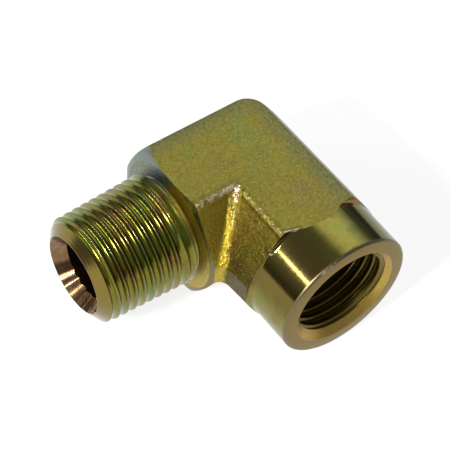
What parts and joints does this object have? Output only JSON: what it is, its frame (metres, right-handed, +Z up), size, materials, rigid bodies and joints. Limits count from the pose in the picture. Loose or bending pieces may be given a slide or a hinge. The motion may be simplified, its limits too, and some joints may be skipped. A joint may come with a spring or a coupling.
{
  "type": "hydraulic elbow adapter",
  "caption": "Forged steel 90 degree street elbow: threaded male shank with a conical seat, flat-sided L body and a round collar with a tapped socket.",
  "frame": {"origin": "on the lower flat, straight below the crossing of the two port axes", "axes": "+Z up through the upper flat; the male port points along -X and the female port along -Y"},
  "size_m": [0.0518, 0.0447, 0.027],
  "materials": {
    "plated_steel": "yellow chromated zinc plating, semi-gloss"
  },
  "bodies": {
    "root": {"elbow_body": "plated_steel"}
  },
  "joints": []
}
